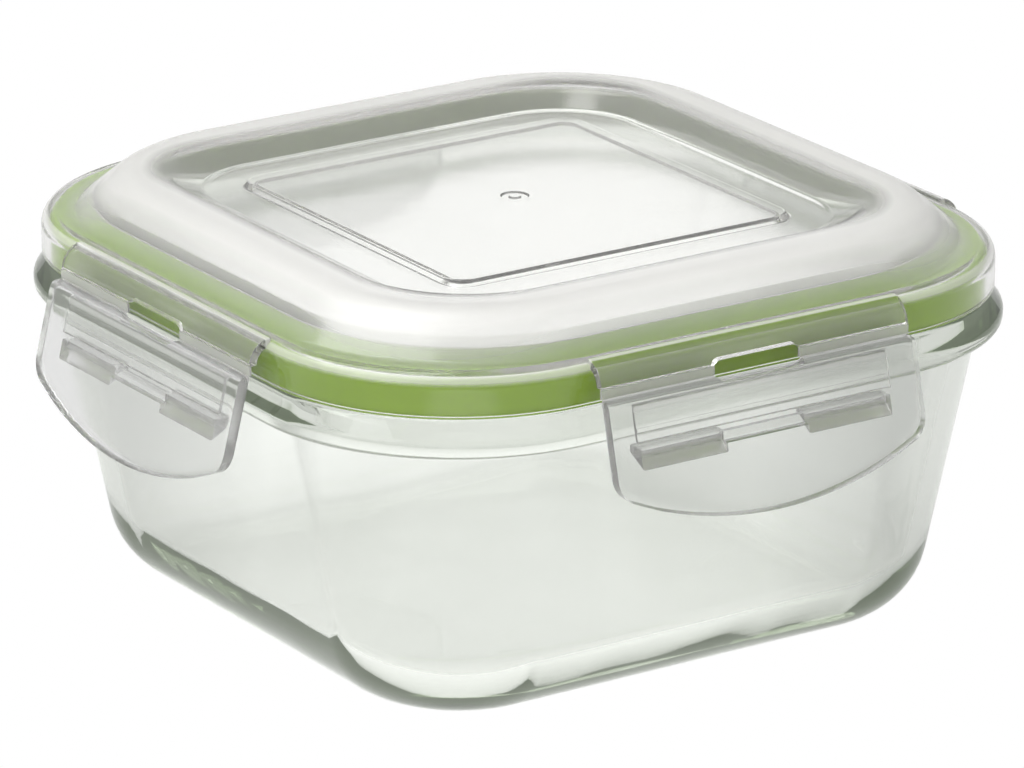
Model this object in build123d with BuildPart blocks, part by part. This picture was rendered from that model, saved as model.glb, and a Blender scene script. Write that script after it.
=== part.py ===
"""Square food-storage container: pressed glass bowl, clip-on plastic lid, silicone seal.

Millimetres.  The origin is the middle of the bowl's foot and +Z is up.  The faces
are called front (-Y), right (+X), back (+Y) and left (-X).

The bowl, lid and seal are rounded squares that share one set of corner centres, so
each is drawn as one section.  A section's first coordinate is its distance from the
middle of the container, its "half width", and its second is the height.  Pushed
straight, the section makes a side; turned about a corner's centre, it makes a corner.
"""

from build123d import *
import os
from math import cos, radians, tan

# ---------------------------------------------------------------- driving dimensions

# Glass bowl
FLANGE_WIDTH = 147.4  # across the widest part of the glass flange
FLANGE_CORNER_R = 39.4  # the flange's corner, seen from above
BOWL_HEIGHT = 64.4  # foot to the top of the lip
FLANGE_DEPTH = 6.7  # underside of the flange to its top slope
FLANGE_OVERHANG = 4.4  # how far the flange stands out from the wall below it
LIP_HEIGHT = 3.0  # lip above the flange
LIP_SETBACK = 4.6  # lip's outer face, in from the flange's edge
LIP_WALL = 3.6
BOWL_DRAFT = 11.45  # degrees that the walls lean outward
BOWL_WALL = 3.6
BOWL_FLOOR = 4.8
BOWL_EDGE_R = 15.4  # round between the foot and the walls
FOOT_RECESS = 0.6  # hollow under the floor, inside the foot
FOOT_MARGIN = 3.6  # width of the flat foot around that hollow

# Fits between the bowl, the seal and the lid
SEAL_LIFT = 0.3  # seal above the lip of the glass
SEAL_SIDE_GAP = 0.3  # seal's skirt leg, out from the lip
SEAL_FIT = 0.1  # seal inside its channel in the lid
SKIRT_LIFT = 0.3  # lid's skirt above the flange
RIB_GAP = 0.4  # lid's inner rib, in from the lip

# Silicone seal
SEAL_THICKNESS = 3.4  # the pad that presses on the lip
SEAL_LEG = 0.9  # the leg that hangs between lip and skirt
SEAL_LEG_LENGTH = 6.2  # from the top of the pad to the foot of the leg

# Lid
LID_WALL = 1.6
RIM_WIDTH = 4.0  # flat rim around the stacking ridge
RIDGE_RISE = 7.0  # ridge above the rim
RIDGE_SLOPE = 8.5  # width of the ridge's outer slope
RIDGE_CREST = 8.0  # width of the ridge's flat crest
RIDGE_INNER_SLOPE = 6.5
GROOVE_DROP = 3.5  # crest of the ridge to the floor of the groove
GROOVE_WIDTH = 9.3  # groove between the ridge and the middle panel
PANEL_RISE = 1.0
PANEL_CORNER_R = 6.0
RIB_WALL = 1.2
RIB_REACH = 0.9  # rib below the top of the glass lip
GATE_DIAMETER = 5.2  # moulding gate's dimple in the middle of the panel
GATE_DEPTH = 0.3

# Latches, one on each side
LATCH_END_MARGIN = 2.3  # straight rim left beyond each end of a latch
SHOULDER_OVERHANG = 3.0  # hinge line, out from the skirt
SHOULDER_R = 4.5  # quarter-round shoulder between the rim and the hinge
FILM_HEIGHT = 1.6  # thin hinge between shoulder and latch
FILM_WALL = 0.4
LATCH_WALL = 2.0
LATCH_LEAN = 14.0  # degrees that the latch leans outward
LATCH_LENGTH = 23.4  # top of the flap to the lowest point of the flap
LATCH_SIDE_LENGTH = 16.2  # top of the flap to the foot of each straight side
LATCH_CORNER_R = 4.5
LATCH_TOP_R = 1.9  # round along the top outer edge
SLOT_LENGTH = 18.4  # window through the hinge, end to end
SLOT_HEIGHT = 3.4
HOOK_GAP = 17.0  # between the two hooks of a latch
HOOK_END_MARGIN = 6.0  # hook's outer end, in from the end of its latch
HOOK_HEIGHT = 3.6
HOOK_TIP = 1.4  # flat height of the hook's tip
HOOK_DROP = 0.3  # hook's top below the underside of the flange
HOOK_CLEARANCE = 0.3  # hook's tip outside the widest part of the flange
BRIDGE_HEIGHT = 2.1  # low bar that joins a latch's two hooks
BRIDGE_DEPTH = 1.1
BEAD_HEIGHT = 0.8  # stiffening bead above the hooks
BEAD_DEPTH = 0.8
BEAD_RISE = 2.4  # bead above the underside of the flange

# ---------------------------------------------------------------- places worked out

CORNER_INSET = FLANGE_WIDTH / 2 - FLANGE_CORNER_R
FLANGE_HALF = FLANGE_WIDTH / 2
FLANGE_TOP = BOWL_HEIGHT - LIP_HEIGHT
FLANGE_BOTTOM = FLANGE_TOP - FLANGE_DEPTH
LIP_OUTER = FLANGE_HALF - LIP_SETBACK
LIP_INNER = LIP_OUTER - LIP_WALL
FLOOR_TOP = FOOT_RECESS + BOWL_FLOOR

LEG_INNER = LIP_OUTER + SEAL_SIDE_GAP
LEG_OUTER = LEG_INNER + SEAL_LEG
SEAL_BOTTOM = BOWL_HEIGHT + SEAL_LIFT
SEAL_TOP = SEAL_BOTTOM + SEAL_THICKNESS

SKIRT_INNER = LEG_OUTER + SEAL_FIT
SKIRT_OUTER = SKIRT_INNER + LID_WALL
SKIRT_BOTTOM = FLANGE_TOP + SKIRT_LIFT
RIM_TOP = SEAL_TOP + LID_WALL
RIDGE_FOOT = SKIRT_OUTER - RIM_WIDTH
CREST_OUTER = RIDGE_FOOT - RIDGE_SLOPE
CREST_INNER = CREST_OUTER - RIDGE_CREST
GROOVE_OUTER = CREST_INNER - RIDGE_INNER_SLOPE
PANEL_HALF = GROOVE_OUTER - GROOVE_WIDTH
CREST_TOP = RIM_TOP + RIDGE_RISE
GROOVE_TOP = CREST_TOP - GROOVE_DROP
PANEL_TOP = GROOVE_TOP + PANEL_RISE
RIB_OUTER = LIP_INNER - RIB_GAP
RIB_INNER = RIB_OUTER - RIB_WALL
RIB_BOTTOM = BOWL_HEIGHT - RIB_REACH

LATCH_HALF = CORNER_INSET - LATCH_END_MARGIN
HINGE_HALF = SKIRT_OUTER + SHOULDER_OVERHANG
SHOULDER_BOTTOM = RIM_TOP - SHOULDER_R
LATCH_TOP = SHOULDER_BOTTOM - FILM_HEIGHT
HINGE_HEIGHT = (SHOULDER_BOTTOM + LATCH_TOP) / 2
HINGE_AXIS = HINGE_HALF - FILM_WALL / 2
HOOK_TOP = FLANGE_BOTTOM - HOOK_DROP
HOOK_FACE = FLANGE_HALF + HOOK_CLEARANCE
HOOK_OUTER_END = LATCH_HALF - HOOK_END_MARGIN

SIDES = {"front": -90, "right": 0, "back": 90, "left": 180}  # degrees about +Z from +X


# ---------------------------------------------------------------- shared shapes


def rounded_outline(corners):
    """A section through (half width, height, corner radius) triples."""
    with BuildSketch() as section:
        with BuildLine():
            FilletPolyline(
                *[(half, height) for half, height, _ in corners],
                radius=[radius for _, _, radius in corners],
                close=True,
            )
        make_face()
    return section.sketch


def square_ring(section):
    """A section carried round the container: four straight sides and four corners."""
    corner_axis = Axis((CORNER_INSET, CORNER_INSET, 0), (0, 0, 1))
    with BuildPart() as quarter:
        with BuildSketch(Plane.XZ):
            add(section)
        extrude(amount=CORNER_INSET, both=True)
        with BuildSketch(Plane.XZ.offset(-CORNER_INSET)):
            add(section)
        revolve(axis=corner_axis, revolution_arc=90)
    with BuildPart() as ring:
        with PolarLocations(0, 4):
            add(quarter.part)
    return ring.part


def window_cut():
    """The slot through a hinge on the right, shared by the lid and the latch."""
    with BuildPart() as window:
        with BuildSketch(Plane.YZ.offset(SKIRT_OUTER + SEAL_FIT)):
            with Locations((0, HINGE_HEIGHT)):
                SlotOverall(SLOT_LENGTH, SLOT_HEIGHT)
        extrude(amount=2 * SHOULDER_OVERHANG)
    return window.part


def save(part, name):
    """Label a finished piece and write it as parts/<name>.step."""
    part.label = name
    export_step(part, f"parts/{name}.step")


# ---------------------------------------------------------------- glass bowl


def wall_outer(height):
    """Half width of the wall's outer face at a height."""
    return FLANGE_HALF - FLANGE_OVERHANG - (FLANGE_BOTTOM - height) * tan(radians(BOWL_DRAFT))


def wall_inner(height):
    """Half width of the wall's inner face at a height."""
    return wall_outer(height) - BOWL_WALL / cos(radians(BOWL_DRAFT))


def make_glass_bowl():
    """Floor, drafted walls, and a flange below a plain lip."""
    edge_run = BOWL_EDGE_R * tan(radians(45 - BOWL_DRAFT / 2))
    foot_half = wall_outer(0) - edge_run
    recess_half = foot_half - FOOT_MARGIN
    lip_run = (LIP_INNER - wall_inner(0)) / tan(radians(BOWL_DRAFT))
    section = rounded_outline(
        [
            (CORNER_INSET, FOOT_RECESS, 0),
            (recess_half - FOOT_RECESS, FOOT_RECESS, 0),
            (recess_half, 0, 0),
            (wall_outer(0), 0, BOWL_EDGE_R),
            (wall_outer(FLANGE_BOTTOM), FLANGE_BOTTOM, 1.0),
            (FLANGE_HALF - 0.2, FLANGE_BOTTOM, 0.9),
            (FLANGE_HALF, FLANGE_BOTTOM + 3.0, 2.0),
            (LIP_OUTER + 1.9, FLANGE_TOP, 1.0),
            (LIP_OUTER, FLANGE_TOP, 0.3),
            (LIP_OUTER, BOWL_HEIGHT, 1.2),
            (LIP_INNER, BOWL_HEIGHT, 1.6),
            (LIP_INNER, lip_run, 4.0),
            (wall_inner(FLOOR_TOP), FLOOR_TOP, BOWL_EDGE_R - BOWL_WALL),
            (CORNER_INSET, FLOOR_TOP, 0),
        ]
    )
    with BuildPart() as glass_bowl:
        add(square_ring(section))
        with Locations((0, 0, FOOT_RECESS)):
            Box(
                2 * CORNER_INSET,
                2 * CORNER_INSET,
                BOWL_FLOOR,
                align=(Align.CENTER, Align.CENTER, Align.MIN),
            )
    save(glass_bowl.part, "glass_bowl")


# ---------------------------------------------------------------- lid and seal


def ridge_middle(half):
    """Height of the middle of the lid's wall on the ridge's outer slope."""
    slope = RIDGE_RISE / RIDGE_SLOPE
    return RIM_TOP + (RIDGE_FOOT - half) * slope - LID_WALL / 2


def make_lid():
    """Skirt, rim, stacking ridge, panel, sealing rib and a shoulder for each latch."""
    with BuildSketch() as shell:
        with BuildLine():
            FilletPolyline(
                (CORNER_INSET, GROOVE_TOP),
                (GROOVE_OUTER, GROOVE_TOP),
                (CREST_INNER, CREST_TOP),
                (CREST_OUTER, CREST_TOP),
                (RIDGE_FOOT, RIM_TOP),
                (SKIRT_OUTER, RIM_TOP),
                (SKIRT_OUTER, SKIRT_BOTTOM),
                radius=(1.6, 3.0, 3.0, 2.5, 2.0),
            )
            offset(amount=LID_WALL, side=Side.RIGHT)
        make_face()
        with BuildLine():
            Polyline(
                (RIB_INNER, RIB_BOTTOM),
                (RIB_OUTER, RIB_BOTTOM),
                (RIB_OUTER, ridge_middle(RIB_OUTER)),
                (RIB_INNER, ridge_middle(RIB_INNER)),
                close=True,
            )
        make_face()
    with BuildPart() as shoulder:
        with BuildSketch(Plane.XZ):
            with BuildLine():
                outer = CenterArc((HINGE_HALF - SHOULDER_R, SHOULDER_BOTTOM), SHOULDER_R, 0, 90)
                inner = CenterArc(
                    (HINGE_HALF - SHOULDER_R, SHOULDER_BOTTOM), SHOULDER_R - LID_WALL, 0, 90
                )
                Line(outer @ 0, inner @ 0)
                Line(outer @ 1, inner @ 1)
            make_face()
        extrude(amount=LATCH_HALF, both=True)
        add(window_cut(), mode=Mode.SUBTRACT)
    with BuildPart() as lid:
        add(square_ring(shell.sketch))
        with PolarLocations(0, 4):
            add(shoulder.part)
        with Locations((0, 0, GROOVE_TOP)):
            Box(
                2 * CORNER_INSET,
                2 * CORNER_INSET,
                LID_WALL,
                align=(Align.CENTER, Align.CENTER, Align.MAX),
            )
        with BuildSketch(Plane.XY.offset(GROOVE_TOP)):
            RectangleRounded(2 * PANEL_HALF, 2 * PANEL_HALF, PANEL_CORNER_R)
        extrude(amount=PANEL_RISE)
        with BuildSketch(Plane.XY.offset(GROOVE_TOP - LID_WALL)):
            RectangleRounded(
                2 * (PANEL_HALF - LID_WALL), 2 * (PANEL_HALF - LID_WALL), PANEL_CORNER_R - LID_WALL
            )
        extrude(amount=PANEL_RISE, mode=Mode.SUBTRACT)
        with BuildSketch(Plane.XY.offset(PANEL_TOP)):
            Circle(GATE_DIAMETER / 2)
            Circle(GATE_DIAMETER / 5, mode=Mode.SUBTRACT)
        extrude(amount=-GATE_DEPTH, mode=Mode.SUBTRACT)
    save(lid.part, "lid")


def make_silicone_seal():
    """A pad over the lip, with a leg that hangs inside the lid's skirt."""
    pad_inner = RIB_OUTER + SEAL_FIT
    section = rounded_outline(
        [
            (pad_inner, SEAL_BOTTOM, 0.5),
            (LEG_INNER, SEAL_BOTTOM, 0.3),
            (LEG_INNER, SEAL_TOP - SEAL_LEG_LENGTH, 0.2),
            (LEG_OUTER, SEAL_TOP - SEAL_LEG_LENGTH, 0.4),
            (LEG_OUTER, SEAL_TOP, 0.5),
            (pad_inner, SEAL_TOP, 0.5),
        ]
    )
    with BuildPart() as silicone_seal:
        add(square_ring(section))
    save(silicone_seal.part, "silicone_seal")


# ---------------------------------------------------------------- latches


def latch_face(height):
    """Half width of the latch's outer face at a height."""
    top_outer = HINGE_HALF + LATCH_WALL
    return top_outer + (LATCH_TOP - height) * tan(radians(LATCH_LEAN))


def latch_back(height):
    """Half width of the latch's inner face at a height."""
    return latch_face(height) - LATCH_WALL / cos(radians(LATCH_LEAN))


def make_right_latch():
    """The flap on the right: a leaning plate with a curved foot and two hooks."""
    foot = LATCH_TOP - LATCH_LENGTH
    side_foot = LATCH_TOP - LATCH_SIDE_LENGTH
    hook_bottom = HOOK_TOP - HOOK_HEIGHT
    bead_bottom = FLANGE_BOTTOM + BEAD_RISE
    buried = LATCH_WALL / 2
    with BuildPart() as latch:
        with BuildSketch(Plane.XZ):
            add(
                rounded_outline(
                    [
                        (latch_back(LATCH_TOP), LATCH_TOP, 0),
                        (latch_face(LATCH_TOP), LATCH_TOP, LATCH_TOP_R),
                        (latch_face(foot), foot, 0),
                        (latch_back(foot), foot, 0),
                    ]
                )
            )
        extrude(amount=LATCH_HALF, both=True)
        with BuildSketch(Plane.YZ) as front_view:
            with BuildLine():
                Polyline(
                    (-LATCH_HALF, side_foot),
                    (-LATCH_HALF, LATCH_TOP),
                    (LATCH_HALF, LATCH_TOP),
                    (LATCH_HALF, side_foot),
                )
                ThreePointArc((LATCH_HALF, side_foot), (0, foot), (-LATCH_HALF, side_foot))
            make_face()
            fillet(front_view.vertices().group_by(Axis.Y)[0], LATCH_CORNER_R)
        extrude(amount=2 * latch_face(foot), mode=Mode.INTERSECT)
        with BuildSketch(Plane.XZ):
            add(
                rounded_outline(
                    [
                        (HOOK_FACE, HOOK_TOP, 0.4),
                        (latch_back(HOOK_TOP) + buried, HOOK_TOP, 0),
                        (latch_back(hook_bottom) + buried, hook_bottom, 0),
                        (latch_back(hook_bottom), hook_bottom, 0),
                        (HOOK_FACE, HOOK_TOP - HOOK_TIP, 0.4),
                    ]
                )
            )
        extrude(amount=HOOK_OUTER_END, both=True)
        with BuildSketch(Plane.XZ):
            add(
                rounded_outline(
                    [
                        (HOOK_FACE - 1, HOOK_TOP + 1, 0),
                        (latch_back(HOOK_TOP) - BRIDGE_DEPTH, HOOK_TOP + 1, 0),
                        (latch_back(HOOK_TOP) - BRIDGE_DEPTH, HOOK_TOP - BRIDGE_HEIGHT, 0),
                        (latch_back(HOOK_TOP - BRIDGE_HEIGHT), HOOK_TOP - BRIDGE_HEIGHT, 0),
                        (latch_back(hook_bottom), hook_bottom, 0),
                        (HOOK_FACE - 1, hook_bottom, 0),
                    ]
                )
            )
        extrude(amount=HOOK_GAP / 2, both=True, mode=Mode.SUBTRACT)
        with BuildSketch(Plane.XZ):
            add(
                rounded_outline(
                    [
                        (latch_back(bead_bottom) - BEAD_DEPTH, bead_bottom, 0.3),
                        (latch_back(bead_bottom) + buried, bead_bottom, 0),
                        (latch_back(bead_bottom) + buried, bead_bottom + BEAD_HEIGHT, 0),
                        (latch_back(bead_bottom) - BEAD_DEPTH, bead_bottom + BEAD_HEIGHT, 0.3),
                    ]
                )
            )
        extrude(amount=HOOK_OUTER_END, both=True)
        add(window_cut(), mode=Mode.SUBTRACT)
    return latch.part


def make_right_film():
    """The thin hinge on the right: two strips, one each side of the window."""
    with BuildPart() as film:
        with Locations((HINGE_HALF, 0, HINGE_HEIGHT)):
            Box(FILM_WALL, 2 * LATCH_HALF, FILM_HEIGHT, align=(Align.MAX, Align.CENTER, Align.CENTER))
        add(window_cut(), mode=Mode.SUBTRACT)
    return film.part


def make_latches():
    """The right-hand latch and film, turned to all four sides."""
    right_latch = make_right_latch()
    right_film = make_right_film()
    for side, angle in SIDES.items():
        with BuildPart() as latch:
            add(right_latch, rotation=(0, 0, angle))
        save(latch.part, f"latch_{side}")
        with BuildPart() as film:
            add(right_film, rotation=(0, 0, angle))
        save(film.part, f"hinge_film_{side}")


# ---------------------------------------------------------------- build

os.makedirs("parts", exist_ok=True)
make_glass_bowl()
make_lid()
make_silicone_seal()
make_latches()
print(f"hinge axes: half width {HINGE_AXIS:.2f}, height {HINGE_HEIGHT:.2f}")
print(f"panel top {PANEL_TOP:.2f}, ridge crest {CREST_TOP:.2f}")
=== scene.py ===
# %% [markdown]
# # A glass food box with a clip-on lid
#
# The real object is three loose pieces: a pressed glass bowl, a lid moulded in one
# shot of soft plastic with a flap on each side, and a ring of green silicone in the
# lid's channel.  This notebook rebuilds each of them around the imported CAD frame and
# gives them glass, frosted plastic and silicone finishes.

# %% Open the frame
import bpy
import bmesh
from math import asin, cos, degrees, pi, radians, sin, tan
from mathutils import Matrix, Vector


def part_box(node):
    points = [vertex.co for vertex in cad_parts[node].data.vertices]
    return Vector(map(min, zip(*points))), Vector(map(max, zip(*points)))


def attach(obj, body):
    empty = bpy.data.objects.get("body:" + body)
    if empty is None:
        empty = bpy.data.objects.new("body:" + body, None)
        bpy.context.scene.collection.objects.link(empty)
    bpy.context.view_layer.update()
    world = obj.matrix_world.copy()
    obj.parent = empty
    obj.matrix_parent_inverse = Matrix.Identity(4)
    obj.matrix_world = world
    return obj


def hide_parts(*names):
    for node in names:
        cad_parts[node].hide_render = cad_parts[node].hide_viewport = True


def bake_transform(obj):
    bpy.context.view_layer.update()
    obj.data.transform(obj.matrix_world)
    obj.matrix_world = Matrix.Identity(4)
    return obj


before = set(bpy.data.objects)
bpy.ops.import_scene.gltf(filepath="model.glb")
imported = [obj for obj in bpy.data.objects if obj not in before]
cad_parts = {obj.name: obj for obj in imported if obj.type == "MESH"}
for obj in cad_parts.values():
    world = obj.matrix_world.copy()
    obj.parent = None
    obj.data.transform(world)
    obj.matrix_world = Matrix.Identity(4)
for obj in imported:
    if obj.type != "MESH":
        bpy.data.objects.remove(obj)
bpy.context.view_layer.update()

MM = 0.001
bowl_low, bowl_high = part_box("glass_bowl")
lid_low, lid_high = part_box("lid")
seal_low, seal_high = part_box("silicone_seal")
latch_low, latch_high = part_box("latch_right")
film_low, film_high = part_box("hinge_film_right")
print("bowl", bowl_high, "lid", lid_high, "latch", latch_low, latch_high)

# %% [markdown]
# ## A short way to write node trees
#
# Node trees get long when every node and link is a line of its own.  A small class
# holds one socket and turns Python's operators into Math nodes, so a sum in a tree
# reads like a sum.  One more method adds any other kind of node.


# %% Sockets that can be added and multiplied
class Wire:
    """An output socket of a node tree that takes part in sums."""

    def __init__(self, tree, socket):
        self.tree = tree
        self.socket = socket

    def _math(self, operation, first, second=None):
        values = {0: first} if second is None else {0: first, 1: second}
        return self.tree.add("ShaderNodeMath", {"operation": operation}, values)

    def __add__(self, other):
        return self._math("ADD", self, other)

    def __sub__(self, other):
        return self._math("SUBTRACT", self, other)

    def __rsub__(self, other):
        return self._math("SUBTRACT", other, self)

    def __mul__(self, other):
        return self._math("MULTIPLY", self, other)

    def __truediv__(self, other):
        return self._math("DIVIDE", self, other)

    def __rtruediv__(self, other):
        return self._math("DIVIDE", other, self)

    __radd__ = __add__
    __rmul__ = __mul__

    def call(self, operation, other=None):
        """Any other Math operation, such as FLOOR or MAXIMUM."""
        return self._math(operation, self, other)

    def sister(self, name):
        """Another output of the same node."""
        return Wire(self.tree, self.socket.node.outputs[name])


class Tree:
    """A shader or geometry node tree that is written from Python."""

    def __init__(self, nodes):
        self.nodes = nodes

    def add(self, kind, settings=None, values=None, output=0):
        """Add a node: its settings first, then the values or wires of its sockets."""
        node = self.nodes.nodes.new(kind)
        for name, setting in (settings or {}).items():
            if name == "stops":
                self._set_stops(node.color_ramp, setting)
            else:
                setattr(node, name, setting)
        for name, value in (values or {}).items():
            if isinstance(value, Wire):
                self.nodes.links.new(value.socket, node.inputs[name])
            else:
                node.inputs[name].default_value = value
        return Wire(self, node.outputs[output]) if node.outputs else node

    @staticmethod
    def _set_stops(ramp, stops):
        while len(ramp.elements) < len(stops):
            ramp.elements.new(1.0)
        for element, (place, colour) in zip(ramp.elements, stops):
            element.position = place
            element.color = colour


# %% [markdown]
# ## One rule for every square part
#
# Bowl, lid and seal are rounded squares all the way down, so each can be described
# by a single outline from its middle to its edge and back.  Every point of that
# outline stands for one ring: a rounded square with its own half width, corner
# centre and height.  The outline's sharp points are rounded in Python first, because
# a short list of corners and radii is the way a toolmaker would write it.


# %% Round an outline
def rounded(corners, step=radians(7.5)):
    """Replace each (half, height, radius, corner centre) by points along its round."""
    points = []
    last = len(corners) - 1
    for index, (half, height, radius, centre) in enumerate(corners):
        here = Vector((half, height))
        if radius <= 0 or index in (0, last):
            points.append((half, centre, height))
            continue
        back = (Vector(corners[index - 1][:2]) - here).normalized()
        ahead = (Vector(corners[index + 1][:2]) - here).normalized()
        opening = back.angle(ahead)
        middle = here + (back + ahead).normalized() * (radius / sin(opening / 2))
        start = here + back * (radius / tan(opening / 2)) - middle
        turn = pi - opening
        if start.cross(back) < 0:
            turn = -turn
        count = max(2, round(abs(turn) / step))
        for part in range(count + 1):
            spoke = start @ Matrix.Rotation(turn * part / count, 2)
            points.append((middle.x + spoke.x, centre, middle.y + spoke.y))
    return points


def parallel(corners, distance):
    """The same outline moved sideways, as the inside of a wall follows its outside."""
    moved = []
    for index, (half, height, radius, centre) in enumerate(corners):
        here = Vector((half, height))
        before = Vector(corners[max(index - 1, 0)][:2])
        after = Vector(corners[min(index + 1, len(corners) - 1)][:2])
        way_in = (here - before).normalized() if index else (after - here).normalized()
        way_out = (after - here).normalized() if after != here else way_in
        side_in = Vector((way_in.y, -way_in.x))
        side_out = Vector((way_out.y, -way_out.x))
        bisector = (side_in + side_out).normalized()
        place = here + bisector * (distance / bisector.dot(side_in))
        grows = way_in.cross(way_out) > 0
        new_radius = radius + distance if grows else max(radius - distance, 0.4 * MM)
        moved.append((place.x, place.y, new_radius if radius else 0, centre))
    return moved


# %% [markdown]
# The rings themselves are a job for Geometry Nodes.  A grid gets one row for each
# point of the outline and one column for each step around the square, and Set
# Position then puts every grid point on its ring.  Curve to Mesh could sweep the
# outline instead, but it can't change the corner radius on the way or close the
# middle to a single point.


# %% Build the ring tree
def ring_tree():
    """Geometry nodes that turn an outline into a shell of rounded-square rings."""
    group = bpy.data.node_groups.new("rounded square rings", "GeometryNodeTree")
    face = group.interface
    face.new_socket("Outline", in_out="INPUT", socket_type="NodeSocketGeometry")
    face.new_socket("Steps per corner", in_out="INPUT", socket_type="NodeSocketInt")
    face.new_socket("Finish", in_out="INPUT", socket_type="NodeSocketMaterial")
    face.new_socket("Shell", in_out="OUTPUT", socket_type="NodeSocketGeometry")
    tree = Tree(group)
    outline = tree.add("NodeGroupInput")
    steps = outline.sister("Steps per corner")
    around = 4 * (steps + 1) + 1
    rings = tree.add(
        "GeometryNodeAttributeDomainSize", {"component": "MESH"}, {"Geometry": outline}
    )
    grid = tree.add("GeometryNodeMeshGrid", {}, {"Vertices X": rings, "Vertices Y": around})
    index = tree.add("GeometryNodeInputIndex")
    ring = (index / around).call("FLOOR")
    column = index - ring * around
    place = tree.add(
        "GeometryNodeSampleIndex",
        {"data_type": "FLOAT_VECTOR", "domain": "POINT"},
        {
            "Geometry": outline,
            "Value": tree.add("GeometryNodeInputPosition"),
            "Index": ring,
        },
    )
    half = tree.add("ShaderNodeSeparateXYZ", {}, {0: place})
    centre = half.sister("Y")
    corner = (column / (steps + 1)).call("FLOOR")
    quarter = pi / 2
    angle = corner * quarter + (column - corner * (steps + 1)) * (quarter / steps)
    diagonal = corner * quarter + pi / 4
    reach = centre * 2**0.5
    radius = half - centre
    ring_point = tree.add(
        "ShaderNodeCombineXYZ",
        {},
        {
            "X": reach * diagonal.call("COSINE") + radius * angle.call("COSINE"),
            "Y": reach * diagonal.call("SINE") + radius * angle.call("SINE"),
            "Z": half.sister("Z"),
        },
    )
    shell = tree.add("GeometryNodeSetPosition", {}, {"Geometry": grid, "Position": ring_point})
    welded = tree.add("GeometryNodeMergeByDistance", {}, {"Geometry": shell, "Distance": 1e-6})
    single = tree.add("GeometryNodeRealizeInstances", {}, {"Geometry": welded})
    finished = tree.add(
        "GeometryNodeSetMaterial", {}, {"Geometry": single, "Material": outline.sister("Finish")}
    )
    tree.add("NodeGroupOutput", {}, {"Shell": finished})
    return group


RINGS = ring_tree()
print("ring tree:", len(RINGS.nodes), "nodes")

# %% [markdown]
# ## Turning outlines and trees into plain meshes
#
# The export wants plain meshes, so a tree is run once on its outline, the result is
# kept as an ordinary mesh, and the modifier goes.  Flat moulded faces stay flat to the
# eye only if their normals aren't dragged round by the narrow rounds beside them, so
# every finished piece is smoothed with a Weighted Normal modifier.
#
# Booleans want closed solids with flat faces.  Both solids are cut into triangles
# first, because a many-sided face is never quite flat and leaves open edges.
# Afterwards, the triangles that lie flat beside each other are joined again.


# %% Helpers that make and finish pieces
def new_object(name, mesh):
    """An object at the origin that holds a mesh."""
    item = bpy.data.objects.new(name, mesh)
    bpy.context.scene.collection.objects.link(item)
    return item


def baked(item):
    """Replace an object's mesh by what its modifiers make of it, then drop them."""
    bpy.context.view_layer.update()
    graph = bpy.context.evaluated_depsgraph_get()
    mesh = bpy.data.meshes.new_from_object(item.evaluated_get(graph))
    item.modifiers.clear()
    item.data = mesh
    return item


def shell(name, points, material, steps=20):
    """Run the ring tree on an outline."""
    mesh = bpy.data.meshes.new(name + "_outline")
    mesh.from_pydata(points, [(i, i + 1) for i in range(len(points) - 1)], [])
    item = new_object(name, mesh)
    modifier = item.modifiers.new("rings", "NODES")
    modifier.node_group = RINGS
    inputs = {s.name: s.identifier for s in RINGS.interface.items_tree if s.in_out == "INPUT"}
    modifier[inputs["Steps per corner"]] = steps
    modifier[inputs["Finish"]] = material
    return baked(item)


def prism(name, outline, along, low, high):
    """A closed prism: an outline of (first, second) pairs pushed along X or Y."""
    place = {
        "X": lambda first, second, run: (run, first, second),
        "Y": lambda first, second, run: (first, run, second),
    }[along]
    form = bmesh.new()
    ends = [[form.verts.new(place(a, b, run)) for a, b in outline] for run in (low, high)]
    form.faces.new(ends[0])
    form.faces.new(reversed(ends[1]))
    for this in range(len(outline)):
        after = (this + 1) % len(outline)
        form.faces.new((ends[0][after], ends[0][this], ends[1][this], ends[1][after]))
    bmesh.ops.recalc_face_normals(form, faces=form.faces)
    mesh = bpy.data.meshes.new(name)
    form.to_mesh(mesh)
    form.free()
    return new_object(name, mesh)


def in_triangles(item):
    """Split every face into triangles, which a Boolean can't find bent."""
    form = bmesh.new()
    form.from_mesh(item.data)
    bmesh.ops.triangulate(form, faces=form.faces)
    form.to_mesh(item.data)
    form.free()
    return item


def tidied(item, gap=1e-6):
    """Weld the slivers that a Boolean leaves, and join triangles that lie flat."""
    form = bmesh.new()
    form.from_mesh(item.data)
    bmesh.ops.remove_doubles(form, verts=form.verts, dist=gap)
    bmesh.ops.dissolve_limit(
        form, angle_limit=radians(0.2), verts=form.verts, edges=form.edges, delimit=set()
    )
    form.to_mesh(item.data)
    form.free()
    return item


def combine(item, operation, tool):
    """Join a second solid to a piece, or cut it out, and use the second one up."""
    modifier = in_triangles(item).modifiers.new(operation, "BOOLEAN")
    modifier.operation = operation
    modifier.solver = "EXACT"
    modifier.object = in_triangles(tool)
    baked(item)
    bpy.data.objects.remove(tool)
    return tidied(item)


def soften(item, width, segments=3, angle=radians(35)):
    """Round a piece's sharp edges."""
    modifier = item.modifiers.new("edges", "BEVEL")
    modifier.width = width
    modifier.segments = segments
    modifier.limit_method = "ANGLE"
    modifier.angle_limit = angle
    modifier.use_clamp_overlap = True
    return baked(item)


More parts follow.
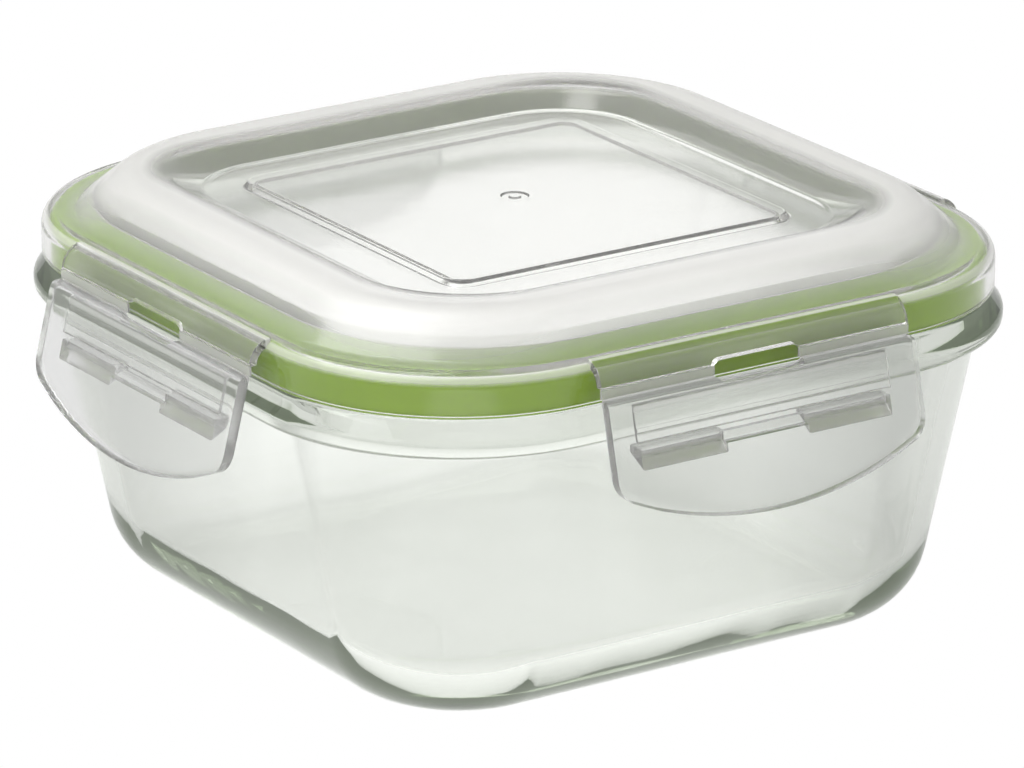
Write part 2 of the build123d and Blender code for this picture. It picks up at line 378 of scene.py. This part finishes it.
def finished(item, material, angle=radians(40)):
    """Give a piece its finish and smooth it, but keep its creases and its flats."""
    item.data.materials.clear()
    item.data.materials.append(material)
    item.data.polygons.foreach_set("material_index", [0] * len(item.data.polygons))
    item.data.shade_smooth()
    item.data.set_sharp_from_angle(angle=angle)
    modifier = item.modifiers.new("flat faces stay flat", "WEIGHTED_NORMAL")
    modifier.keep_sharp = True
    baked(item)
    print(f"{item.name}: {len(item.data.polygons)} faces")
    return item


def turned(item, name, turn):
    """A copy of a piece turned about the container's middle, in degrees."""
    mesh = item.data.copy()
    mesh.transform(Matrix.Rotation(radians(turn), 4, "Z"))
    return new_object(name, mesh)


# %% [markdown]
# ## Sizes
#
# The overall places come from the CAD frame.  What is left are wall thicknesses,
# rounds and small steps, which a mould maker would set for each part.

# %% Shared sizes
FLANGE_CORNER_R = 39.4 * MM
CORNER = bowl_high.x - FLANGE_CORNER_R
FLANGE = bowl_high.x
LIP_TOP = bowl_high.z

LIP_SETBACK = 4.6 * MM
LIP_WALL = 3.6 * MM
LIP_HEIGHT = 3.0 * MM
FLANGE_DEPTH = 6.7 * MM
FLANGE_OVERHANG = 4.4 * MM
DRAFT = radians(11.45)
BOWL_WALL = 3.6 * MM
BOWL_FLOOR = 4.8 * MM
BOWL_EDGE_R = 15.4 * MM
FOOT_RECESS = 0.6 * MM
FOOT_MARGIN = 3.6 * MM
FLANGE_FLAT = 1.9 * MM
FLANGE_EDGE = 3.0 * MM
FLANGE_TUCK = 0.2 * MM
LIP_BLEND_R = 6 * MM
FOOT_BLEND_R = 20 * MM

flange_top = LIP_TOP - LIP_HEIGHT
flange_bottom = flange_top - FLANGE_DEPTH
lip_outer = FLANGE - LIP_SETBACK
lip_inner = lip_outer - LIP_WALL
floor_top = FOOT_RECESS + BOWL_FLOOR


def wall_outer(height):
    """Half width of the bowl's outer wall at a height."""
    return FLANGE - FLANGE_OVERHANG - (flange_bottom - height) * tan(DRAFT)


def wall_inner(height):
    """Half width of the bowl's inner wall at a height."""
    return wall_outer(height) - BOWL_WALL / cos(DRAFT)


# %% [markdown]
# ## Glass
#
# Pressed borosilicate glass is almost colourless, but its thick edges look grey-green
# because light crosses more of it there.  Tinting the surface would colour thin walls
# as much as thick ones, so the tint is a Volume Absorption inside the glass.  A very
# slow, low bump stands for the soft waviness that pressing leaves in the walls.
#
# Two numbers are there for the renderer, and not for the glass.  A light path that
# is caught in a thick edge ends early and turns black, so a little emission gives
# back what it lost.  The grey Base Color dims what is seen through the walls.


# %% Glass finish
def new_material(name):
    """An empty material and its tree."""
    material = bpy.data.materials.new(name)
    material.use_nodes = True
    material.node_tree.nodes.clear()
    return material, Tree(material.node_tree)


def glass_finish():
    """Clear pressed glass with a faint green depth."""
    material, tree = new_material("pressed glass")
    place = tree.add("ShaderNodeTexCoord", output="Object")
    wave = tree.add(
        "ShaderNodeTexNoise", {}, {"Vector": place, "Scale": 30.0, "Detail": 1.0}
    )
    swell = tree.add(
        "ShaderNodeBump", {}, {"Strength": 0.4, "Distance": 0.8 * MM, "Height": wave}
    )
    surface = tree.add(
        "ShaderNodeBsdfPrincipled",
        {},
        {
            "Base Color": (0.86, 0.86, 0.862, 1.0),
            "Roughness": 0.0,
            "IOR": 1.48,
            "Transmission Weight": 1.0,
            "Emission Color": (0.90, 1.0, 0.82, 1.0),
            "Emission Strength": 0.02,
            "Normal": swell,
        },
    )
    depth = tree.add(
        "ShaderNodeVolumeAbsorption", {}, {"Color": (0.60, 0.66, 0.54, 1.0), "Density": 42.0}
    )
    tree.add("ShaderNodeOutputMaterial", {}, {"Surface": surface, "Volume": depth})
    return material


GLASS = glass_finish()

# %% [markdown]
# ## The bowl
#
# The outline starts in the middle of the floor inside, climbs the inner wall to the
# lip, comes down over the flange and the outer wall, and ends in the middle of the
# foot.  Each line is a corner: half width, height, radius, corner centre.

# %% Make the bowl
edge_run = BOWL_EDGE_R * tan(pi / 4 - DRAFT / 2)
foot_half = wall_outer(0) - edge_run
recess_half = foot_half - FOOT_MARGIN
lip_start = (lip_inner - wall_inner(0)) / tan(DRAFT)
bowl_outline = [
    (0, floor_top, 0, 0),
    (wall_inner(floor_top), floor_top, BOWL_EDGE_R - BOWL_WALL, CORNER),
    (lip_inner, lip_start, LIP_BLEND_R, CORNER),
    (lip_inner, LIP_TOP, 1.6 * MM, CORNER),
    (lip_outer, LIP_TOP, 1.2 * MM, CORNER),
    (lip_outer, flange_top, 0.6 * MM, CORNER),
    (lip_outer + FLANGE_FLAT, flange_top, 1.4 * MM, CORNER),
    (FLANGE, flange_bottom + FLANGE_EDGE, 2.2 * MM, CORNER),
    (FLANGE - FLANGE_TUCK, flange_bottom, 1.8 * MM, CORNER),
    (wall_outer(flange_bottom), flange_bottom, 1.6 * MM, CORNER),
    (wall_outer(0), 0, BOWL_EDGE_R, CORNER),
    (recess_half, 0, FOOT_BLEND_R, CORNER),
    (0, FOOT_RECESS, 0, 0),
]
bowl = finished(shell("bowl_glass", rounded(bowl_outline), GLASS), GLASS)

# %% [markdown]
# ## Soft translucent plastic
#
# The lid is one moulding, but it doesn't look the same all over: the mould is
# polished in the middle, so the panel and the groove are clear, while the ridge, the
# rim and the hinge shoulders are spark-eroded and look milky.  The finish is mixed
# from a clear and a milky plastic, and a ramp over the distance to the container's
# middle says how much of each there is.


# %% Frosted and clear plastic
def ring_distance(tree, place):
    """Half width of the rounded square that passes through each point."""
    axes = tree.add("ShaderNodeSeparateXYZ", {}, {0: place})
    past_x = (axes.call("ABSOLUTE") - CORNER).call("MAXIMUM", 0.0)
    past_y = (axes.sister("Y").call("ABSOLUTE") - CORNER).call("MAXIMUM", 0.0)
    return (past_x * past_x + past_y * past_y).call("SQRT") + CORNER


def milk_ramp(tree, distance, stops):
    """How milky the plastic is, from (half width in mm, share) pairs."""
    start, end = stops[0][0] * MM, stops[-1][0] * MM
    shares = [
        ((half * MM - start) / (end - start), (share, share, share, 1))
        for half, share in stops
    ]
    return tree.add(
        "ShaderNodeValToRGB", {"stops": shares}, {0: (distance - start) / (end - start)}
    )


def plastic_finish(name, milk_stops, rough, tint, glow):
    """Polypropylene, clear and smooth where it isn't milky, with a faint painted glow of its
    own.
    """
    material, tree = new_material(name)
    place = tree.add("ShaderNodeTexCoord", output="Object")
    milk = milk_ramp(tree, ring_distance(tree, place), milk_stops)
    wave = tree.add("ShaderNodeTexNoise", {}, {"Vector": place, "Scale": 55.0, "Detail": 2.0})
    texture = tree.add(
        "ShaderNodeBump", {}, {"Strength": 0.3, "Distance": 0.12 * MM, "Height": wave}
    )
    clear_rough, milky_rough = rough
    clear = tree.add(
        "ShaderNodeBsdfPrincipled",
        {},
        {
            "Base Color": tint,
            "Roughness": clear_rough + milk * (milky_rough - clear_rough) + wave * 0.02,
            "IOR": 1.49,
            "Transmission Weight": 1.0,
            # Painted glow: the plastic gives off a little light of its own, though it is no
            # lamp.
            "Emission Color": (1.0, 1.0, 0.97, 1.0),
            "Emission Strength": glow,
            "Normal": texture,
        },
    )
    milky = tree.add(
        "ShaderNodeBsdfPrincipled",
        {},
        {
            "Base Color": (0.94, 0.935, 0.91, 1.0),
            "Roughness": 0.35,
            "IOR": 1.49,
            "Normal": texture,
        },
    )
    mixed = tree.add("ShaderNodeMixShader", {}, {0: milk, 1: clear, 2: milky})
    tree.add("ShaderNodeOutputMaterial", {}, {"Surface": mixed})
    return material


LID_MILK = [(40, 0.02), (50, 0.02), (54, 0.46), (60, 0.48), (64, 0.24), (68, 0.06)]
LID_MILK += [(69.8, 0.05), (70.2, 0.0), (70.6, 0.0), (71.0, 0.4), (71.7, 0.4)]
LID_MILK += [(71.85, 0.0), (72.2, 0.0), (72.8, 0.06), (76, 0.06)]
LATCH_MILK = [(73, 0.12), (75.2, 0.30), (75.6, 0.06), (84, 0.06)]
# The last number is the plastic's painted glow, a little light it gives off though it is no
# lamp.
LID_PLASTIC = plastic_finish(
    "lid plastic", LID_MILK, (0.05, 0.45), (0.91, 0.905, 0.895, 1.0), 0.003
)
LATCH_PLASTIC = plastic_finish(
    "latch plastic", LATCH_MILK, (0.08, 0.3), (0.84, 0.845, 0.84, 1.0), 0.003
)

# %% [markdown]
# ## The lid
#
# The top of the lid is drawn once, from the gate mark in the middle to the edge of
# the skirt.  Its underside is the same line moved in by the thickness of the wall,
# with the sealing rib added where it hangs down inside the lip of the glass.

# %% Lid sizes
LID_WALL = 1.6 * MM
SHOULDER_R = 4.5 * MM
SHOULDER_OVERHANG = 3.0 * MM
RIM_WIDTH = 4.0 * MM
RIDGE_RISE = 7.0 * MM
RIDGE_SLOPE = 8.5 * MM
RIDGE_CREST = 8.0 * MM
RIDGE_INNER_SLOPE = 6.5 * MM
GROOVE_DROP = 3.5 * MM
GROOVE_WIDTH = 9.3 * MM
PANEL_RISE = 1.0 * MM
PANEL_CORNER_R = 4.5 * MM
RIDGE_CORNER = 28.5 * MM
GROOVE_R = 2.2 * MM
CREST_INNER_R = 5.5 * MM
CREST_OUTER_R = 9.0 * MM
RIDGE_FOOT_R = 1.2 * MM
RIM_R = 3.0 * MM
PANEL_MARGIN = 0.4 * MM
PANEL_SLOPE = 0.4 * MM
RIB_WALL = 1.2 * MM
RIB_GAP = 1.8 * MM
RIB_REACH = 0.9 * MM
GATE_R = 2.6 * MM
NUB_R = 1.04 * MM
GATE_DEPTH = 0.3 * MM
SKIRT_LIFT = 0.3 * MM

hinge = lid_high.x
skirt_outer = hinge - SHOULDER_OVERHANG
skirt_inner = skirt_outer - LID_WALL
skirt_bottom = flange_top + SKIRT_LIFT
crest_top = lid_high.z
rim_top = crest_top - RIDGE_RISE
ridge_foot = skirt_outer - RIM_WIDTH
crest_outer = ridge_foot - RIDGE_SLOPE
crest_inner = crest_outer - RIDGE_CREST
groove_outer = crest_inner - RIDGE_INNER_SLOPE
groove_top = crest_top - GROOVE_DROP
panel_half = groove_outer - GROOVE_WIDTH + PANEL_MARGIN
panel_top = groove_top + PANEL_RISE
panel_corner = panel_half - PANEL_CORNER_R
rib_outer = lip_inner - RIB_GAP
rib_inner = rib_outer - RIB_WALL
rib_bottom = LIP_TOP - RIB_REACH
shoulder_bottom = rim_top - SHOULDER_R

# %% Make the lid's shell
gate_mark = [
    (0, panel_top, 0, 0),
    (NUB_R, panel_top, 0.15 * MM, 0),
    (NUB_R + 0.1 * MM, panel_top - GATE_DEPTH, 0.12 * MM, 0),
    (GATE_R - 0.2 * MM, panel_top - GATE_DEPTH, 0.2 * MM, 0),
    (GATE_R, panel_top, 0.12 * MM, 0),
]
panel_edge = [
    (panel_half - PANEL_SLOPE, panel_top, 0.6 * MM, panel_corner),
    (panel_half + PANEL_SLOPE, groove_top, 0.6 * MM, panel_corner),
]
lid_top = [
    (groove_outer, groove_top, GROOVE_R, RIDGE_CORNER),
    (crest_inner, crest_top, CREST_INNER_R, RIDGE_CORNER),
    (crest_outer, crest_top, CREST_OUTER_R, RIDGE_CORNER),
    (ridge_foot, rim_top, RIDGE_FOOT_R, RIDGE_CORNER),
    (skirt_outer, rim_top, RIM_R, CORNER),
    (skirt_outer, skirt_bottom, 0.5 * MM, CORNER),
]
lid_inside = parallel([(panel_half, groove_top, 0, CORNER)] + lid_top, LID_WALL)[1:-1]


def slope_height(half):
    """Height of the lid's inner face on the ridge's outer slope."""
    crest, foot = lid_inside[2], lid_inside[3]
    share = (half - crest[0]) / (foot[0] - crest[0])
    return crest[1] + share * (foot[1] - crest[1])


rib = [
    (rib_outer, slope_height(rib_outer), 0.4 * MM, RIDGE_CORNER),
    (rib_outer, rib_bottom, 0.4 * MM, CORNER),
    (rib_inner, rib_bottom, 0.4 * MM, CORNER),
    (rib_inner, slope_height(rib_inner), 0.4 * MM, RIDGE_CORNER),
]
pocket = panel_half - LID_WALL
lid_underside = (
    [(skirt_inner, skirt_bottom, 0.4 * MM, CORNER)]
    + [lid_inside[4], lid_inside[3]]
    + rib
    + [lid_inside[2], lid_inside[1], lid_inside[0]]
    + [
        (pocket, groove_top - LID_WALL, 0.3 * MM, panel_corner),
        (pocket - 0.3 * MM, panel_top - LID_WALL, 0.3 * MM, panel_corner),
        (0, panel_top - LID_WALL, 0, 0),
    ]
)
lid_outline = gate_mark + panel_edge + lid_top + lid_underside
lid = shell("lid_moulding", rounded(lid_outline), LID_PLASTIC)

# %% [markdown]
# Each latch hangs from a quarter-round shoulder that grows out of the rim.  The four
# shoulders are one section pushed straight, turned to each side and joined to the
# shell with a Boolean, then the slots that show the seal are cut through them.

# %% Shoulders and slots
SIDES = {"right": 0, "back": 90, "left": 180, "front": 270}
LATCH_HALF = latch_high.y
SLOT_HALF = 9.2 * MM
SLOT_R = 1.7 * MM
slot_middle = (film_low.z + film_high.z) / 2


def arc(centre, radius, start, end, count):
    """Points along an arc, angles in degrees."""
    turns = [radians(start + (end - start) * i / count) for i in range(count + 1)]
    return [(centre[0] + radius * cos(t), centre[1] + radius * sin(t)) for t in turns]


def slot_cutter(name):
    """The window through one hinge: a long hole with round ends."""
    run = SLOT_HALF - SLOT_R
    ends = arc((run, slot_middle), SLOT_R, -90, 90, 12)
    ends += arc((-run, slot_middle), SLOT_R, 90, 270, 12)
    return prism(name, ends, "X", skirt_outer + 0.1 * MM, hinge + 6 * MM)


def shoulder_prism():
    """The shoulder on the right, with softened ends."""
    centre = (hinge - SHOULDER_R, shoulder_bottom)
    section = arc(centre, SHOULDER_R, 0, 90, 12)
    section += arc(centre, SHOULDER_R - LID_WALL, 90, 0, 12)
    item = prism("shoulder", section, "Y", -LATCH_HALF, LATCH_HALF)
    soften(item, 0.25 * MM)
    return combine(item, "DIFFERENCE", slot_cutter("shoulder_slot"))


one_shoulder = shoulder_prism()
for side, turn in SIDES.items():
    combine(lid, "UNION", turned(one_shoulder, "shoulder_" + side, turn))
bpy.data.objects.remove(one_shoulder)
finished(lid, LID_PLASTIC)

# %% [markdown]
# ## The silicone seal
#
# The seal is soft and matt, dyed right through.  It lies on the lip of the glass and
# has a leg that hangs down inside the skirt, which is the band of green that shows
# through the plastic.  Above the lip it fills the wedge under the ridge's outer
# slope, which is the paler band.  The wedge and the place of the rib beside it are
# drawn for the looks.  The CAD model has a flat seal.


# %% Silicone finish and ring
def silicone_finish():
    """Lime silicone with a soft sheen."""
    material, tree = new_material("lime silicone")
    place = tree.add("ShaderNodeTexCoord", output="Object")
    cloud = tree.add("ShaderNodeTexNoise", {}, {"Vector": place, "Scale": 45.0, "Detail": 3.0})
    dust = tree.add("ShaderNodeTexNoise", {}, {"Vector": place, "Scale": 700.0, "Detail": 2.0})
    colour = tree.add(
        "ShaderNodeValToRGB",
        {"stops": [(0.3, (0.35, 0.59, 0.006, 1)), (0.7, (0.39, 0.64, 0.012, 1))]},
        {0: cloud},
    )
    surface = tree.add(
        "ShaderNodeBsdfPrincipled",
        {},
        {"Base Color": colour, "Roughness": 0.38 + dust * 0.12, "IOR": 1.41},
    )
    tree.add("ShaderNodeOutputMaterial", {}, {"Surface": surface})
    return material


SILICONE = silicone_finish()
SEAL_LEG = 0.9 * MM
SEAL_FIT = 0.1 * MM
SEAL_LIFT = 0.3 * MM
WEDGE_GAP = 0.12 * MM
SEAL_CORNER_R = 1.6 * MM
leg_outer = seal_high.x
leg_inner = leg_outer - SEAL_LEG
pad_inner = rib_outer + SEAL_FIT
pad_bottom = LIP_TOP + SEAL_LIFT
wedge_foot = lid_inside[3][0] - SEAL_FIT
seal_outline = [
    (wedge_foot, seal_high.z, 0, RIDGE_CORNER),
    (leg_outer, seal_high.z, SEAL_CORNER_R, CORNER),
    (leg_outer, seal_low.z, 0.4 * MM, CORNER),
    (leg_inner, seal_low.z, 0.3 * MM, CORNER),
    (leg_inner, pad_bottom, 0.3 * MM, CORNER),
    (pad_inner, pad_bottom, 0.5 * MM, CORNER),
    (pad_inner, slope_height(pad_inner) - WEDGE_GAP, 0.3 * MM, RIDGE_CORNER),
    (wedge_foot, seal_high.z, 0, RIDGE_CORNER),
]
seal = finished(shell("seal_ring", rounded(seal_outline), SILICONE), SILICONE)

# %% [markdown]
# ## The latches
#
# A latch is a thin flap that leans outward, with a curved foot, a rim that stiffens
# its edge, and two hooks behind it that catch under the glass flange.  It is made as
# a toolmaker would cut it: a side view pushed straight, trimmed by the front view,
# with the rim, hooks and window added after.

# %% Latch sizes
LEAN = radians(14)
LATCH_WALL = 2.0 * MM
LATCH_TOP_R = 1.9 * MM
SIDE_LENGTH = 16.2 * MM
FOOT_CORNER_R = 4.5 * MM
RIM_BAND = 1.5 * MM
RIM_STEP = 0.22 * MM
HOOK_GAP = 17.0 * MM
HOOK_END_MARGIN = 6.0 * MM
HOOK_HEIGHT = 3.6 * MM
HOOK_TIP = 1.4 * MM
HOOK_DROP = 0.3 * MM
BRIDGE_HEIGHT = 2.1 * MM
BRIDGE_DEPTH = 1.1 * MM
BRIDGE_DROP = 0.1 * MM
PATCH_DEPTH = 0.45 * MM
BEAD_RISE = 2.4 * MM
BEAD_HEIGHT = 0.8 * MM
BEAD_DEPTH = 0.8 * MM
PATCH_HALF = 26.4 * MM
BURIED = LATCH_WALL / 2

latch_top = latch_high.z
latch_foot = latch_low.z
hook_face = latch_low.x
hook_top = flange_bottom - HOOK_DROP
hook_end = LATCH_HALF - HOOK_END_MARGIN


def face_at(height):
    """How far out the latch's outer face stands at a height."""
    return hinge + LATCH_WALL + (latch_top - height) * tan(LEAN)


def back_at(height):
    """How far out the latch's inner face stands at a height."""
    return face_at(height) - LATCH_WALL / cos(LEAN)


# %% Latch blank
def flat_rounded(corners, step=radians(7.5)):
    """Round a closed outline of (first, second, radius)."""
    loop = [corners[-1]] + corners + [corners[0]]
    points = rounded([(a, b, r, 0) for a, b, r in loop], step)
    return [(a, b) for a, _, b in points[1:-1]]


def latch_front_view():
    """The flap seen square on: straight sides, a curved foot and round corners."""
    rise = latch_top - SIDE_LENGTH - latch_foot
    radius = (LATCH_HALF**2 + rise**2) / (2 * rise)
    centre = (0, latch_foot + radius)
    sweep = degrees(asin(LATCH_HALF / radius))
    foot = arc(centre, radius, -90 - sweep, -90 + sweep, 24)
    inner = foot[3:-3]
    low_corner = foot[0]
    corners = [(LATCH_HALF, latch_top, 0.6 * MM), (-LATCH_HALF, latch_top, 0.6 * MM)]
    corners += [(*low_corner, FOOT_CORNER_R)]
    corners += [(a, b, 0) for a, b in inner]
    corners += [(-low_corner[0], low_corner[1], FOOT_CORNER_R)]
    return flat_rounded(corners)


def latch_blank():
    """The plain flap with a raised rim round its faces."""
    side_view = flat_rounded(
        [
            (back_at(latch_top), latch_top, 0),
            (face_at(latch_top), latch_top, LATCH_TOP_R),
            (face_at(latch_foot), latch_foot, 0),
            (back_at(latch_foot), latch_foot, 0),
        ]
    )
    item = prism("latch", side_view, "Y", -LATCH_HALF - MM, LATCH_HALF + MM)
    trim = prism("latch_trim", latch_front_view(), "X", hinge - 5 * MM, hinge + 20 * MM)
    combine(item, "INTERSECT", trim)
    form = bmesh.new()
    form.from_mesh(item.data)
    faces = sorted(form.faces, key=lambda face: face.calc_area())[-2:]
    for broad in faces:
        bmesh.ops.inset_region(
            form, faces=[broad], thickness=RIM_BAND, depth=-RIM_STEP, use_even_offset=True
        )
    form.to_mesh(item.data)
    form.free()
    combine(item, "DIFFERENCE", slot_cutter("latch_slot"))
    return soften(item, 0.35 * MM)


def bar(name, outline, low, high, edge):
    """A moulded bar across the back of a latch."""
    return soften(prism(name, flat_rounded(outline), "Y", low, high), edge, 2)


def pad(item, name, low, high, depth, half):
    """Add a thin raised patch across the back of the flap."""
    outline = [
        (back_at(high) - depth, high, 0.15 * MM),
        (back_at(high) + BURIED, high, 0),
        (back_at(low) + BURIED, low, 0),
        (back_at(low) - depth, low, 0.15 * MM),
    ]
    combine(item, "UNION", bar(name, outline, -half, half, 0.1 * MM))


def add_hooks(item):
    """Two hooks with a low bridge between them, a patch and a bead."""
    hook_bottom = hook_top - HOOK_HEIGHT
    hook = [
        (hook_face, hook_top, 0.4 * MM),
        (back_at(hook_top) + BURIED, hook_top, 0),
        (back_at(hook_bottom) + BURIED, hook_bottom, 0),
        (back_at(hook_bottom), hook_bottom, 0.3 * MM),
        (hook_face, hook_top - HOOK_TIP, 0.4 * MM),
    ]
    bridge_low = hook_top - BRIDGE_HEIGHT
    bridge_top = hook_top - BRIDGE_DROP
    bridge = [
        (back_at(bridge_top) - BRIDGE_DEPTH, bridge_top, 0.3 * MM),
        (back_at(bridge_top) + BURIED, bridge_top, 0),
        (back_at(bridge_low) + BURIED, bridge_low, 0),
        (back_at(hook_top) - BRIDGE_DEPTH, bridge_low, 0.3 * MM),
    ]
    pad(item, "patch", hook_top + MM, latch_top - 2 * MM, PATCH_DEPTH, PATCH_HALF)
    bead_low = hook_top + BEAD_RISE
    pad(item, "bead", bead_low, bead_low + BEAD_HEIGHT, BEAD_DEPTH, hook_end)
    inner = HOOK_GAP / 2
    combine(item, "UNION", bar("hook_low", hook, -hook_end, -inner, 0.25 * MM))
    combine(item, "UNION", bar("hook_high", hook, inner, hook_end, 0.25 * MM))
    combine(item, "UNION", bar("bridge", bridge, -inner - MM, inner + MM, 0.2 * MM))
    return item


one_latch = finished(add_hooks(latch_blank()), LATCH_PLASTIC)
latches = {side: turned(one_latch, "latch_flap_" + side, turn) for side, turn in SIDES.items()}
bpy.data.objects.remove(one_latch)

# %% [markdown]
# ## The living hinges
#
# A living hinge is the same plastic, thinned until it bends.  Each one is a strip on
# either side of the window.  It has rows along its height, between the lid and the
# latch.


# %% Make the hinge films
FILM_LAP = 0.4 * MM


def film_strips(name):
    """Two thin strips on the right, cut into rows."""
    rows = 8
    inner = SLOT_HALF - FILM_LAP
    form = bmesh.new()
    for low, high in ((-LATCH_HALF, -inner), (inner, LATCH_HALF)):
        near, far = film_low.x, film_high.x
        corners = [(near, low), (far, low), (far, high), (near, high)]
        loops = []
        for row in range(rows + 1):
            height = film_high.z + (film_low.z - film_high.z) * row / rows
            loops.append([form.verts.new((x, y, height)) for x, y in corners])
        for upper, lower in zip(loops, loops[1:]):
            for this in range(4):
                after = (this + 1) % 4
                form.faces.new((upper[this], upper[after], lower[after], lower[this]))
        form.faces.new(loops[0])
        form.faces.new(reversed(loops[-1]))
    bmesh.ops.recalc_face_normals(form, faces=form.faces)
    mesh = bpy.data.meshes.new(name)
    form.to_mesh(mesh)
    form.free()
    return new_object(name, mesh)


one_film = finished(film_strips("film"), LATCH_PLASTIC)
films = {side: turned(one_film, "film_" + side, turn) for side, turn in SIDES.items()}
bpy.data.objects.remove(one_film)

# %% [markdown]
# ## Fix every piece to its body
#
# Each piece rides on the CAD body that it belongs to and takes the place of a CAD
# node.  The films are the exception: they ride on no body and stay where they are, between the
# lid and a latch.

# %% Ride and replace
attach(bowl, "bowl")
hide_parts("glass_bowl")
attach(lid, "lid")
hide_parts("lid")
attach(seal, "lid")
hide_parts("silicone_seal")
for side, turn in SIDES.items():
    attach(latches[side], side + "_latch")
    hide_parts("latch_" + side)
    outward = Vector((film_high.x, 0, 0))
    outward.rotate(Matrix.Rotation(radians(turn), 3, "Z"))
    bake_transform(films[side])
    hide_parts("hinge_film_" + side)

# %% [markdown]
# ## Table, light and camera
#
# A product picture is often cut out and laid on pure white, while the glass itself
# was lit by a greyer room.  A Light Path node does the same here: what the camera sees
# of the table and the world is white, and all other light gets a grey table with a
# bright strip, and a world that is darker at the horizon.  The grey draws the walls
# and edges of the glass.  The strip lies along the main view, because the floor of
# the bowl is bright there and its sides are not.  It is fixed in the scene, so the
# other views get their light from the side.

# %% White table
CAMERA_TURN = radians(-33.37)
STRIP_HALF = 45 * MM
STRIP_EDGE = 75 * MM
STRIP_LIGHT = 1.10
TABLE_LIGHT = 0.46


def seen_white(tree, surface):
    """White where the camera sees it, and the given surface for all other light."""
    white = tree.add("ShaderNodeEmission", {}, {"Color": (1, 1, 1, 1), "Strength": 1.0})
    seen = tree.add("ShaderNodeLightPath", output="Is Camera Ray")
    return tree.add("ShaderNodeMixShader", {}, {0: seen, 1: surface, 2: white})


def table_finish():
    """Grey-white acrylic sheet with a strip of light under it."""
    material, tree = new_material("white table")
    place = tree.add("ShaderNodeTexCoord", output="Object")
    across = tree.add(
        "ShaderNodeVectorMath",
        {"operation": "DOT_PRODUCT"},
        {0: place, 1: (cos(CAMERA_TURN), sin(CAMERA_TURN), 0)},
        output="Value",
    )
    strip = tree.add(
        "ShaderNodeValToRGB",
        {"stops": [(0.0, (1, 1, 1, 1)), (1.0, (TABLE_LIGHT, TABLE_LIGHT, TABLE_LIGHT, 1))]},
        {0: (across.call("ABSOLUTE") - STRIP_HALF) / (STRIP_EDGE - STRIP_HALF)},
    )
    surface = tree.add(
        "ShaderNodeBsdfPrincipled",
        {},
        {
            "Base Color": (0.30, 0.30, 0.30, 1.0),
            "Roughness": 0.8,
            "Emission Color": strip,
            "Emission Strength": STRIP_LIGHT,
        },
    )
    mixed = seen_white(tree, surface)
    tree.add("ShaderNodeOutputMaterial", {}, {"Surface": mixed})
    return material


TABLE_HALF = 4.0
table_top = bowl_low.z - 0.05 * MM
table_under = table_top - 20 * MM
table = prism(
    "table",
    [
        (-TABLE_HALF, table_under),
        (TABLE_HALF, table_under),
        (TABLE_HALF, table_top),
        (-TABLE_HALF, table_top),
    ],
    "X",
    -TABLE_HALF,
    TABLE_HALF,
)
table.data.materials.append(table_finish())

# %% World and lamps
world = bpy.data.worlds.new("studio")
bpy.context.scene.world = world
world.use_nodes = True
world.node_tree.nodes.clear()
sky = Tree(world.node_tree)
direction = sky.add("ShaderNodeTexCoord", output="Generated")
height = sky.add("ShaderNodeSeparateXYZ", {}, {0: direction}, output="Z")
across = height.sister("X")
glow = sky.add(
    "ShaderNodeValToRGB",
    {
        "stops": [
            (0.0, (0.46, 0.46, 0.46, 1)),
            (0.06, (0.50, 0.50, 0.50, 1)),
            (0.20, (0.68, 0.68, 0.68, 1)),
            (1.0, (1, 1, 1, 1)),
        ]
    },
    {0: height - across * 0.06},
)
backdrop = sky.add("ShaderNodeBackground", {}, {"Color": glow, "Strength": 1.0})
sky.add("ShaderNodeOutputWorld", {}, {"Surface": seen_white(sky, backdrop)})


def softbox(name, place, size, power):
    """A square area lamp that points at the middle of the object."""
    lamp = bpy.data.lights.new(name, "AREA")
    lamp.shape = "SQUARE"
    lamp.size = size
    lamp.energy = power
    item = bpy.data.objects.new(name, lamp)
    bpy.context.scene.collection.objects.link(item)
    item.location = place
    item.rotation_euler = (middle - Vector(place)).to_track_quat("-Z", "Y").to_euler()


middle = Vector((0, 0, crest_top / 2))
softbox("overhead", (-0.3, 0.4, 1.2), 0.8, 7)
softbox("left", (-1.0, -0.2, 0.7), 0.6, 1.6)

# %% Camera
CAMERA_TILT = radians(19.16)
CAMERA_DISTANCE = 1.260
CAMERA_LENS = 246.1
TARGET_SIDE = -0.5 * MM
TARGET_HEIGHT = 38.6 * MM

camera_data = bpy.data.cameras.new("camera")
camera_data.lens = CAMERA_LENS
camera_data.sensor_width = 36
camera = bpy.data.objects.new("camera", camera_data)
bpy.context.scene.collection.objects.link(camera)
away = Vector(
    (
        sin(CAMERA_TURN) * cos(CAMERA_TILT),
        -cos(CAMERA_TURN) * cos(CAMERA_TILT),
        sin(CAMERA_TILT),
    )
)
target = Vector(
    (TARGET_SIDE * cos(CAMERA_TURN), TARGET_SIDE * sin(CAMERA_TURN), TARGET_HEIGHT)
)
camera.location = target + away * CAMERA_DISTANCE
camera.rotation_euler = (-away).to_track_quat("-Z", "Y").to_euler()
bpy.context.scene.camera = camera

# %% Light paths
# Light crosses many walls here, so it is followed further than usual.
scene = bpy.context.scene
scene.view_settings.view_transform = "Standard"
scene.cycles.max_bounces = 28
scene.cycles.transmission_bounces = 28
scene.cycles.glossy_bounces = 14
scene.cycles.diffuse_bounces = 6
